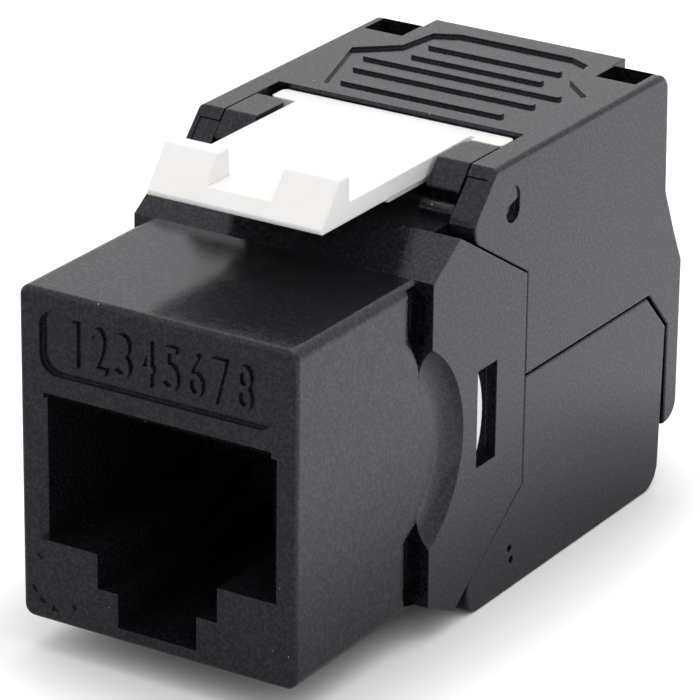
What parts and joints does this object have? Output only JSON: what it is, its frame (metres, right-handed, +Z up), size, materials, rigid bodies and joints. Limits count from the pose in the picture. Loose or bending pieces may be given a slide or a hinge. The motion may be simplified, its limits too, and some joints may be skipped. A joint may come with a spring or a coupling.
{
  "type": "keystone network jack",
  "caption": "Keystone network jack: 8P8C socket in a black body, sprung white panel latch, and two hinged rear doors that press wires into blade terminals.",
  "frame": {"origin": "bottom centre of the jack's bounding box, below the lower door", "axes": "+X across the jack, +Y from the socket to the cable end, +Z up to the latch side"},
  "size_m": [0.016, 0.0334, 0.0226],
  "materials": {
    "black_plastic": "fine satin moulded black plastic",
    "white_plastic": "smooth white moulded plastic",
    "grey_plastic": "matt dark grey moulded plastic",
    "board": "solder-masked circuit board",
    "gold_contact": "gold-plated spring wire",
    "tinned_metal": "tin-plated blade"
  },
  "bodies": {
    "jack": {"front_housing": "black_plastic", "contact_carrier": "white_plastic", "circuit_board": "board", "wire_block_upper": "grey_plastic", "wire_block_lower": "grey_plastic", "pair_guide": "black_plastic", "idc_terminal_1": "tinned_metal", "idc_terminal_2": "tinned_metal", "idc_terminal_3": "tinned_metal", "idc_terminal_4": "tinned_metal", "idc_terminal_5": "tinned_metal", "idc_terminal_6": "tinned_metal", "idc_terminal_7": "tinned_metal", "idc_terminal_8": "tinned_metal"},
    "latch": {"panel_latch": "white_plastic"},
    "upper": {"upper_door": "black_plastic", "wire_cap_upper": "grey_plastic"},
    "lower": {"lower_door": "black_plastic", "wire_cap_lower": "grey_plastic"},
    "contact 1": {"contact_1": "gold_contact"},
    "contact 2": {"contact_2": "gold_contact"},
    "contact 3": {"contact_3": "gold_contact"},
    "contact 4": {"contact_4": "gold_contact"},
    "contact 5": {"contact_5": "gold_contact"},
    "contact 6": {"contact_6": "gold_contact"},
    "contact 7": {"contact_7": "gold_contact"},
    "contact 8": {"contact_8": "gold_contact"}
  },
  "joints": [
    {"name": "upper_door_hinge", "type": "hinge", "parent": "jack", "child": "upper", "pos_m": [0, -0.00227, 0.01898], "axis": [1, 0, 0], "range_deg": [0, 95]},
    {"name": "lower_door_hinge", "type": "hinge", "parent": "jack", "child": "lower", "pos_m": [0, -0.00221, 0.00105], "axis": [1, 0, 0], "range_deg": [-95, 0]},
    {"name": "latch_flex", "type": "hinge", "parent": "jack", "child": "latch", "pos_m": [0, 0.00259, 0.02045], "axis": [1, 0, 0], "range_deg": [0, 8], "stiffness_Nm_per_rad": 0.02},
    {"name": "contact_1_flex", "type": "hinge", "parent": "jack", "child": "contact 1", "pos_m": [0, -0.00307, 0.0099], "axis": [1, 0, 0], "range_deg": [-8, 0], "stiffness_Nm_per_rad": 0.002},
    {"name": "contact_2_flex", "type": "hinge", "parent": "jack", "child": "contact 2", "pos_m": [0, -0.00307, 0.0099], "axis": [1, 0, 0], "range_deg": [-8, 0], "stiffness_Nm_per_rad": 0.002},
    {"name": "contact_3_flex", "type": "hinge", "parent": "jack", "child": "contact 3", "pos_m": [0, -0.00307, 0.0099], "axis": [1, 0, 0], "range_deg": [-8, 0], "stiffness_Nm_per_rad": 0.002},
    {"name": "contact_4_flex", "type": "hinge", "parent": "jack", "child": "contact 4", "pos_m": [0, -0.00307, 0.0099], "axis": [1, 0, 0], "range_deg": [-8, 0], "stiffness_Nm_per_rad": 0.002},
    {"name": "contact_5_flex", "type": "hinge", "parent": "jack", "child": "contact 5", "pos_m": [0, -0.00307, 0.0099], "axis": [1, 0, 0], "range_deg": [-8, 0], "stiffness_Nm_per_rad": 0.002},
    {"name": "contact_6_flex", "type": "hinge", "parent": "jack", "child": "contact 6", "pos_m": [0, -0.00307, 0.0099], "axis": [1, 0, 0], "range_deg": [-8, 0], "stiffness_Nm_per_rad": 0.002},
    {"name": "contact_7_flex", "type": "hinge", "parent": "jack", "child": "contact 7", "pos_m": [0, -0.00307, 0.0099], "axis": [1, 0, 0], "range_deg": [-8, 0], "stiffness_Nm_per_rad": 0.002},
    {"name": "contact_8_flex", "type": "hinge", "parent": "jack", "child": "contact 8", "pos_m": [0, -0.00307, 0.0099], "axis": [1, 0, 0], "range_deg": [-8, 0], "stiffness_Nm_per_rad": 0.002}
  ],
  "couplings": [
    {"joint": "lower_door_hinge", "follows": "upper_door_hinge", "ratio": -1}
  ]
}
